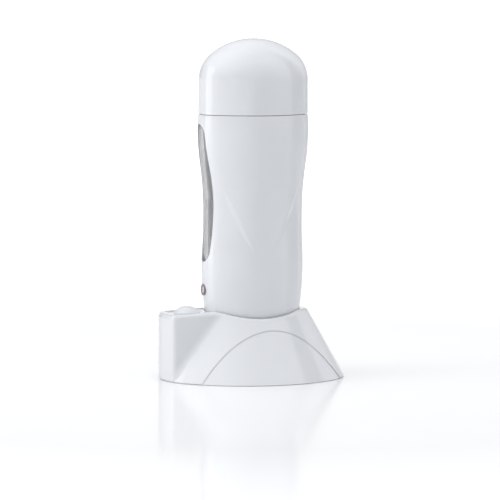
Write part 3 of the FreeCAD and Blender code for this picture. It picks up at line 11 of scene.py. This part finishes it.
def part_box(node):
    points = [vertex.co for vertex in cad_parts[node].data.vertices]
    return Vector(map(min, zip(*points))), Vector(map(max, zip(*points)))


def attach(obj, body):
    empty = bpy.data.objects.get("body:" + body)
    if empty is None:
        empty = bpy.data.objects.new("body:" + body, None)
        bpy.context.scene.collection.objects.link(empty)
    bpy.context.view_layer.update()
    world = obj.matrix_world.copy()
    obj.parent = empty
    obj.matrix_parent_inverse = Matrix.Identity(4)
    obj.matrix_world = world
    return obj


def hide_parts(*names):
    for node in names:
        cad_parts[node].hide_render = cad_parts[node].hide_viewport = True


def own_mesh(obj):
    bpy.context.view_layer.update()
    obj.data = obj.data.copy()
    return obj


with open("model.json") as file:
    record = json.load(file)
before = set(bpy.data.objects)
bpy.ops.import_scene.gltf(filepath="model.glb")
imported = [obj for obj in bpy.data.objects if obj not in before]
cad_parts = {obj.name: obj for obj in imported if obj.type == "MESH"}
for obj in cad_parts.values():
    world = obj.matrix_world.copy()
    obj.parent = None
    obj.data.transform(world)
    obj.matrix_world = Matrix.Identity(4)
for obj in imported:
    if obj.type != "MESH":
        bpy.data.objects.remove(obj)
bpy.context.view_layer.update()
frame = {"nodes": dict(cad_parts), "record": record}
NODES = frame["nodes"]

# ---------------------------------------------------------------- settings

# camera, aimed at a point on the handset's axis; PX_PER_M is the scale there in a picture PICTURE wide
PICTURE = 500
TARGET = Vector((0.0, 0.0, 0.077))
AZIMUTH, ELEVATION, ROLL = math.radians(71.0), math.radians(5.5), math.radians(0.35)
DISTANCE = 2.3
PX_PER_M = 1667.0
SHIFT_PX = -2.3
SENSOR_WIDTH = 36.0
CLIP_END = 50

# what reflections see, as brightness by compass direction in degrees from +X towards +Y
ROOM = [(-180, 0.66), (10, 0.66), (40, 1.1), (67, 1.1), (69, 0.25), (90, 0.25), (92, 0.9), (180, 0.9)]
SWEEP = [(-180, 0.4), (-172, 0.11), (-20, 0.11), (20, 0.64), (92, 0.9), (110, 0.8), (130, 0.5), (180, 0.4)]
HORIZON = [(-180, 1.0), (-172, 0.11), (-20, 0.11), (20, 0.64), (92, 0.9), (130, 0.6), (150, 1.0), (180, 1.0)]
CEILING = [(-180, 0.25), (180, 0.25)]
SWEEP_LEAN = 0.27  # how far the sweep's edge leans back for each step up
SWEEP_EDGE = (0.0, -0.04)  # where the room ends and the sweep begins, along X
HORIZON_FADE = (0.13, 0.2)  # Z of a direction, from the horizon's end to the sweep's start
CEILING_FADE = (0.78, 0.95)  # Z of a direction, from the room's end to the ceiling's start

WORLD_LEVEL = 0.5
WORLD_TINT = (0.93, 0.96, 1.0, 1)
WHITE = (1, 1, 1, 1)

FLOOR_HALF = 12.0
FLOOR_GLOW = 0.045  # under the object, for the camera
GLOW_FADE = (0.3, 1.6)  # from the object outwards, where the glow grows to full white
MIRRORED_FLOOR = 0.45  # glow of the floor in front, as reflections see it
MIRRORED_FADE = (-0.6, 0.1)  # where that glow dies away, along Y
FEET_GIVE = 0.0005  # how far the soft feet settle

AIM = (0, 0, 0.1)
LAMPS = [  # name, place, width and height, watts, whether reflections show it
    ("key_front", (0.1, -1.6, 0.6), (0.9, 1.2), 7.2, False),
    ("key_edge", (-0.4, -1.6, 0.55), (0.9, 1.2), 5.2, True),
    ("fill_right", (1.5, 1.7, 0.8), (1.0, 1.2), 2.8, False),
    ("fill_back", (0.1, 2.0, 0.6), (0.8, 1.2), 2.7, False),
    ("overhead", (0.1, -0.1, 1.7), (1.3, 1.3), 17.5, False),
]

LAMP_LENS_RADIUS = 0.0022

# leaf springs: length of the foot on the board, of the level end under the pin, and the strip's own thickness
LEAF_FOOT, LEAF_TIP, LEAF_THICKNESS = 0.005, 0.0031, 0.0004
LEAF_BEND, BEND_CHORDS = 0.0005, 4


# ---------------------------------------------------------------- camera

def make_camera():
    back = Vector((math.sin(AZIMUTH) * math.cos(ELEVATION), -math.cos(AZIMUTH) * math.cos(ELEVATION),
                   math.sin(ELEVATION)))
    right = (-back).cross(Vector((0, 0, 1))).normalized()
    up = right.cross(-back)
    rolled_right = right * math.cos(ROLL) + up * math.sin(ROLL)
    rolled_up = up * math.cos(ROLL) - right * math.sin(ROLL)
    data = bpy.data.cameras.new("camera")
    data.sensor_width = SENSOR_WIDTH
    data.lens = PX_PER_M * DISTANCE * SENSOR_WIDTH / PICTURE
    data.shift_x = SHIFT_PX / PICTURE
    data.clip_end = CLIP_END
    camera = bpy.data.objects.new("camera", data)
    turn = Matrix((rolled_right, rolled_up, back)).transposed().to_4x4()
    camera.matrix_world = Matrix.Translation(TARGET + back * DISTANCE) @ turn
    bpy.context.scene.collection.objects.link(camera)
    bpy.context.scene.camera = camera


# ---------------------------------------------------------------- node helpers

def new_material(name):
    material = bpy.data.materials.new(name)
    material.use_nodes = True
    tree = material.node_tree
    tree.nodes.clear()
    shader = tree.nodes.new("ShaderNodeBsdfPrincipled")
    show(tree, "ShaderNodeOutputMaterial", shader.outputs["BSDF"])
    return material, tree, shader


def show(tree, kind, surface):
    """Makes a surface the tree's result."""
    out = next((node for node in tree.nodes if node.bl_idname == kind), None) or tree.nodes.new(kind)
    tree.links.new(surface, out.inputs["Surface"])


def feed(tree, socket, value):
    """Gives a socket a fixed value or another node's result."""
    if isinstance(value, bpy.types.NodeSocket):
        tree.links.new(value, socket)
    else:
        socket.default_value = value


def arithmetic(tree, operation, *values):
    node = tree.nodes.new("ShaderNodeMath")
    node.operation = operation
    for socket, value in zip(node.inputs, values):
        feed(tree, socket, value)
    return node.outputs[0]


def vector_step(tree, operation, vector, other=None):
    node = tree.nodes.new("ShaderNodeVectorMath")
    node.operation = operation
    feed(tree, node.inputs[0], vector)
    if other is not None:
        feed(tree, node.inputs[1], other)
    return node.outputs["Value" if operation == "LENGTH" else "Vector"]


def object_coords(tree):
    return tree.nodes.new("ShaderNodeTexCoord").outputs["Object"]


def along(tree, vector):
    """The parts of a vector, by X, Y and Z."""
    node = tree.nodes.new("ShaderNodeSeparateXYZ")
    tree.links.new(vector, node.inputs[0])
    return node.outputs


def noise(tree, coords, scale, detail=2.0, roughness=0.5, stretch=None):
    if stretch:
        mapping = tree.nodes.new("ShaderNodeMapping")
        mapping.inputs["Scale"].default_value = stretch
        tree.links.new(coords, mapping.inputs["Vector"])
        coords = mapping.outputs["Vector"]
    texture = tree.nodes.new("ShaderNodeTexNoise")
    texture.inputs["Scale"].default_value = scale
    texture.inputs["Detail"].default_value = detail
    texture.inputs["Roughness"].default_value = roughness
    tree.links.new(coords, texture.inputs["Vector"])
    return texture.outputs["Fac"]


def spread(tree, value, low, high, start=0.3, end=0.7):
    """Maps a value between start and end onto a range, which it doesn't leave."""
    node = tree.nodes.new("ShaderNodeMapRange")
    for socket, number in (("From Min", start), ("From Max", end), ("To Min", low), ("To Max", high)):
        node.inputs[socket].default_value = number
    tree.links.new(value, node.inputs["Value"])
    return node.outputs["Result"]


def ramp(tree, value, stops):
    """A colour by a value from 0 to 1, from a list of positions and colours."""
    node = tree.nodes.new("ShaderNodeValToRGB")
    tree.links.new(value, node.inputs["Fac"])
    elements = node.color_ramp.elements
    for position, _ in stops[1:-1]:
        elements.new(position)
    for element, (position, colour) in zip(elements, stops):
        element.position = position
        element.color = (*colour, 1)
    return node.outputs["Color"]


def between(tree, value, dark, light):
    """A colour between two, by a texture's value."""
    return ramp(tree, value, [(0.3, dark), (0.7, light)])


def bump(tree, shader, height, depth, into=None):
    node = tree.nodes.new("ShaderNodeBump")
    node.inputs["Strength"].default_value = 1.0
    node.inputs["Distance"].default_value = depth
    tree.links.new(height, node.inputs["Height"])
    if into is not None:
        tree.links.new(into, node.inputs["Normal"])
    tree.links.new(node.outputs["Normal"], shader.inputs["Normal"])
    return node.outputs["Normal"]


def coat(shader, weight, rough, ior):
    shader.inputs["Coat Weight"].default_value = weight
    shader.inputs["Coat Roughness"].default_value = rough
    shader.inputs["Coat IOR"].default_value = ior


# ---------------------------------------------------------------- materials

def moulded(name, colour, rough, gloss=0.0, tint=0.985, grain=2.0e-6, wave=0.0):
    """Injection-moulded plastic: faint colour drift, uneven polish, fine mould grain and slow sink waves."""
    material, tree, shader = new_material(name)
    coords = object_coords(tree)
    drift = noise(tree, coords, scale=18.0, detail=3.0)
    dark = tuple(c * tint for c in colour)
    tree.links.new(between(tree, drift, dark, colour), shader.inputs["Base Color"])
    polish = noise(tree, coords, scale=90.0, detail=4.0, roughness=0.6)
    tree.links.new(spread(tree, polish, rough * 0.9, rough * 1.1), shader.inputs["Roughness"])
    shader.inputs["IOR"].default_value = 1.49
    if gloss:
        coat(shader, weight=gloss, rough=0.06, ior=1.5)
    fine = bump(tree, shader, noise(tree, coords, scale=900.0), grain)
    if wave:
        bump(tree, shader, noise(tree, coords, scale=45.0, detail=1.0), wave, fine)
    return material


def metal(name, colour, rough, stretch=(1, 1, 1)):
    """Drawn or rolled metal: streaks along one direction in polish and tone."""
    material, tree, shader = new_material(name)
    streaks = noise(tree, object_coords(tree), scale=700.0, detail=3.0, roughness=0.6, stretch=stretch)
    dark = tuple(c * 0.86 for c in colour)
    tree.links.new(between(tree, streaks, dark, colour), shader.inputs["Base Color"])
    tree.links.new(spread(tree, streaks, rough * 0.75, rough * 1.3), shader.inputs["Roughness"])
    shader.inputs["Metallic"].default_value = 1.0
    bump(tree, shader, streaks, 4.0e-6)
    return material


def rubber(name, colour):
    """Dull rubber with a little dust on it."""
    material, tree, shader = new_material(name)
    coords = object_coords(tree)
    dust = noise(tree, coords, scale=220.0, detail=5.0, roughness=0.7)
    dusty = tuple(c * 1.7 for c in colour)
    tree.links.new(between(tree, dust, colour, dusty), shader.inputs["Base Color"])
    shader.inputs["Roughness"].default_value = 0.78
    bump(tree, shader, noise(tree, coords, scale=1600.0, detail=3.0), 1.2e-5)
    return material


def clear_lens(name):
    """Clear window plastic with a faint smoky body, a polished skin and fine moulding waves."""
    material, tree, shader = new_material(name)
    coords = object_coords(tree)
    shader.inputs["Base Color"].default_value = (0.76, 0.76, 0.775, 1)
    shader.inputs["Transmission Weight"].default_value = 0.95
    shader.inputs["IOR"].default_value = 1.5
    coat(shader, weight=0.5, rough=0.03, ior=1.6)
    haze = noise(tree, coords, scale=120.0, detail=3.0)
    tree.links.new(spread(tree, haze, 0.07, 0.1), shader.inputs["Roughness"])
    bump(tree, shader, noise(tree, coords, scale=160.0), 3.0e-6)
    return material


def lamp_lens(name):
    """Unlit lamp cover: pinkish in the middle, cream towards its ring."""
    material, tree, shader = new_material(name)
    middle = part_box("indicator_lens")
    centre = (middle[0] + middle[1]) / 2
    coords = object_coords(tree)
    from_centre = vector_step(tree, "SUBTRACT", coords, centre)
    across = vector_step(tree, "LENGTH", vector_step(tree, "MULTIPLY", from_centre, (1, 0, 1)))
    share = arithmetic(tree, "DIVIDE", across, LAMP_LENS_RADIUS)
    colour = ramp(tree, share, [(0.25, (0.42, 0.30, 0.30)), (0.62, (0.74, 0.68, 0.62))])
    tree.links.new(colour, shader.inputs["Base Color"])
    shader.inputs["Roughness"].default_value = 0.22
    shader.inputs["Coat Weight"].default_value = 0.5
    bump(tree, shader, noise(tree, coords, scale=1200.0), 2.0e-6)
    return material


def board_resist(name):
    """Solder resist with woven glass showing faintly through it."""
    material, tree, shader = new_material(name)
    coords = object_coords(tree)
    weave = tree.nodes.new("ShaderNodeTexBrick")
    weave.inputs["Scale"].default_value = 900.0
    weave.inputs["Color1"].default_value = (0.020, 0.120, 0.055, 1)
    weave.inputs["Color2"].default_value = (0.028, 0.150, 0.068, 1)
    weave.inputs["Mortar"].default_value = (0.016, 0.095, 0.045, 1)
    tree.links.new(coords, weave.inputs["Vector"])
    tree.links.new(weave.outputs["Color"], shader.inputs["Base Color"])
    tree.links.new(spread(tree, noise(tree, coords, scale=300.0), 0.3, 0.42), shader.inputs["Roughness"])
    bump(tree, shader, weave.outputs["Fac"], 6.0e-6)
    return material


def make_materials():
    """One material for each of the record's slots."""
    return {
        "white_plastic": moulded("white_gloss_plastic", (0.80, 0.81, 0.835), 0.13, gloss=0.8, wave=2.0e-5),
        "inner_plastic": moulded("inner_plastic", (0.74, 0.75, 0.77), 0.5, grain=6.0e-6),
        "dark_plastic": moulded("dark_plastic", (0.035, 0.035, 0.038), 0.42, grain=8.0e-6, tint=0.8),
        "bezel_plastic": moulded("bezel_plastic", (0.30, 0.235, 0.235), 0.34, grain=3.0e-6, tint=0.92),
        "indicator_lens": lamp_lens("indicator_lens"),
        "clear_lens": clear_lens("clear_lens"),
        "foot_rubber": rubber("foot_rubber", (0.022, 0.022, 0.023)),
        "screw_steel": metal("screw_steel", (0.60, 0.60, 0.61), 0.34),
        "clip_steel": metal("clip_steel", (0.62, 0.62, 0.64), 0.3, stretch=(1, 1, 12)),
        "contact_brass": metal("contact_brass", (0.83, 0.62, 0.27), 0.26),
        "chamber_aluminium": metal("chamber_aluminium", (0.72, 0.72, 0.73), 0.34, stretch=(1, 1, 0.05)),
        "heater_plate": moulded("heater_ceramic", (0.70, 0.68, 0.61), 0.62, grain=1.2e-5, tint=0.94),
        "board": board_resist("board_resist"),
    }


# ---------------------------------------------------------------- stage

def make_world():
    """White to the camera, a studio with walls and gaps in reflections, and a faint even light on surfaces."""
    world = bpy.data.worlds.new("studio")
    bpy.context.scene.world = world
    world.use_nodes = True
    tree = world.node_tree
    tree.nodes.clear()
    light = background(tree, WORLD_TINT, WORLD_LEVEL)
    walls = background(tree, studio_walls(tree), 1.0)
    surroundings = either(tree, bounced_rays(tree), light, walls)
    show(tree, "ShaderNodeOutputWorld",
         either(tree, ray(tree, "Is Camera Ray"), surroundings, background(tree, WHITE, 1.0)))


def background(tree, colour, strength):
    node = tree.nodes.new("ShaderNodeBackground")
    feed(tree, node.inputs["Color"], colour)
    node.inputs["Strength"].default_value = strength
    return node.outputs["Background"]


def either(tree, share, first, second):
    """Two surfaces or backgrounds, mixed by a share from 0 to 1."""
    mix = tree.nodes.new("ShaderNodeMixShader")
    for socket, value in zip(mix.inputs, (share, first, second)):
        tree.links.new(value, socket)
    return mix.outputs["Shader"]


def ray(tree, kind):
    return tree.nodes.new("ShaderNodeLightPath").outputs[kind]


def bounced_rays(tree):
    """1 for rays that come by reflection or through glass, 0 for the camera's own and for light."""
    return arithmetic(tree, "MAXIMUM", ray(tree, "Is Glossy Ray"), ray(tree, "Is Transmission Ray"))


def studio_walls(tree):
    """The room by compass direction, and a white sweep that rises behind the object and over it."""
    x, y, z = along(tree, tree.nodes.new("ShaderNodeTexCoord").outputs["Generated"])
    compass = spread(tree, arithmetic(tree, "ARCTAN2", y, x), 0.0, 1.0, -math.pi, math.pi)
    behind = spread(tree, arithmetic(tree, "MULTIPLY_ADD", z, SWEEP_LEAN, x), 0.0, 1.0, *SWEEP_EDGE)
    low = spread(tree, z, 1.0, 0.0, *HORIZON_FADE)
    high = spread(tree, z, 0.0, 1.0, *CEILING_FADE)
    sweep = mixed(tree, low, levels(tree, compass, SWEEP), levels(tree, compass, HORIZON))
    room = mixed(tree, high, levels(tree, compass, ROOM), levels(tree, compass, CEILING))
    return mixed(tree, behind, room, sweep)


def mixed(tree, share, first, second):
    mix = tree.nodes.new("ShaderNodeMix")
    mix.data_type = "RGBA"
    tree.links.new(share, mix.inputs["Factor"])
    tree.links.new(first, mix.inputs["A"])
    tree.links.new(second, mix.inputs["B"])
    return mix.outputs["Result"]


def levels(tree, compass, table):
    """Brightness by compass direction, a trace bluer than grey."""
    return ramp(tree, compass, [((degrees + 180) / 360, (level, level, level * 1.01)) for degrees, level in table])


def make_floor():
    mesh = bpy.data.meshes.new("floor")
    grid = bmesh.new()
    bmesh.ops.create_grid(grid, x_segments=8, y_segments=8, size=FLOOR_HALF)
    grid.to_mesh(mesh)
    grid.free()
    floor = bpy.data.objects.new("floor", mesh)
    bpy.context.scene.collection.objects.link(floor)
    floor.data.materials.append(floor_material())
    floor.location.z = FEET_GIVE


def floor_material():
    """A pale, slightly shiny sheet whose own glow whitens it away from the object."""
    material, tree, shader = new_material("pale_floor")
    coords = object_coords(tree)
    shade = noise(tree, coords, scale=3.0)
    tree.links.new(between(tree, shade, (0.86, 0.865, 0.87), (0.88, 0.885, 0.89)), shader.inputs["Base Color"])
    shader.inputs["Roughness"].default_value = 0.12
    shader.inputs["Specular IOR Level"].default_value = 0.35
    outwards = spread(tree, vector_step(tree, "LENGTH", coords), FLOOR_GLOW, 1.0, *GLOW_FADE)
    seen = arithmetic(tree, "MULTIPLY", ray(tree, "Is Camera Ray"), outwards)
    in_front = spread(tree, along(tree, coords)["Y"], MIRRORED_FLOOR, 0.0, *MIRRORED_FADE)
    glow = tree.nodes.new("ShaderNodeEmission")
    glow.inputs["Color"].default_value = WHITE
    feed(tree, glow.inputs["Strength"], arithmetic(tree, "MULTIPLY_ADD", bounced_rays(tree), in_front, seen))
    both = tree.nodes.new("ShaderNodeAddShader")
    tree.links.new(shader.outputs["BSDF"], both.inputs[0])
    tree.links.new(glow.outputs["Emission"], both.inputs[1])
    show(tree, "ShaderNodeOutputMaterial", both.outputs["Shader"])
    return material


def make_lights():
    for name, place, (width, height), power, mirrored in LAMPS:
        data = bpy.data.lights.new(name, "AREA")
        data.shape = "RECTANGLE"
        data.size, data.size_y = width, height
        data.energy = power
        light = bpy.data.objects.new(name, data)
        light.location = place
        light.rotation_euler = (Vector(AIM) - Vector(place)).to_track_quat("-Z", "Y").to_euler()
        light.visible_glossy = mirrored
        bpy.context.scene.collection.objects.link(light)


# ---------------------------------------------------------------- the object

def dress(obj, material):
    obj.data.materials.clear()
    obj.data.materials.append(material)


def dress_nodes(materials):
    for row in frame["record"]["subparts"]:
        dress(NODES[row["node"]], materials[row["material_slot"]])


def arc(before, corner, after):
    """The chords that round a corner, from LEAF_BEND before it to LEAF_BEND after it."""
    before, corner, after = Vector(before), Vector(corner), Vector(after)
    start = corner + (before - corner).normalized() * LEAF_BEND
    end = corner + (after - corner).normalized() * LEAF_BEND
    middle = start + end - corner
    turns = [math.pi / 2 * step / BEND_CHORDS for step in range(BEND_CHORDS + 1)]
    return [middle + (start - middle) * math.cos(turn) + (end - middle) * math.sin(turn) for turn in turns]


def prism(name, side, left, right):
    """A mesh from left to right along X, whose side view runs anticlockwise as +X sees it."""
    count = len(side)
    points = [(x, y, z) for x in (left, right) for y, z in side]
    ends = [list(reversed(range(count))), list(range(count, 2 * count))]
    around = [(i, (i + 1) % count, (i + 1) % count + count, i + count) for i in range(count)]
    mesh = bpy.data.meshes.new(name)
    mesh.from_pydata(points, [], ends + around)
    return mesh


def leaf_spring(side, brass):
    """A bent strip of spring brass between the board and the foot of a contact pin, fixed to the dock."""
    low, high = (Vector(corner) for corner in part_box(f"contact_leaf_{side}"))
    sign = 1 if low.y + high.y > 0 else -1
    tip, far = sorted((abs(low.y), abs(high.y)))
    foot, bend, thick = far - LEAF_FOOT, tip + LEAF_TIP, LEAF_THICKNESS
    foot_end = [(far, low.z), (far, low.z + thick)]
    tip_end = [(tip, high.z), (tip, high.z - thick)]
    over = [(foot + thick, low.z + thick), (bend, high.z)]
    under = [(bend - thick, high.z - thick), (foot, low.z)]
    outline = [*foot_end, *arc(foot_end[1], *over), *arc(*over, tip_end[0]),
               *tip_end, *arc(tip_end[1], *under), *arc(*under, foot_end[0])]
    name = f"leaf_spring_{side}"
    piece = bpy.data.objects.new(name, prism(name, [(sign * y, z) for y, z in outline][::sign], low.x, high.x))
    bpy.context.scene.collection.objects.link(piece)
    dress(piece, brass)
    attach(piece, "dock")
    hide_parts(f"contact_leaf_{side}")
    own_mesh(piece)


bpy.context.scene.view_settings.view_transform = "Standard"
make_camera()
MATERIALS = make_materials()
make_world()
make_floor()
make_lights()
dress_nodes(MATERIALS)
leaf_spring("front", MATERIALS["contact_brass"])
leaf_spring("rear", MATERIALS["contact_brass"])
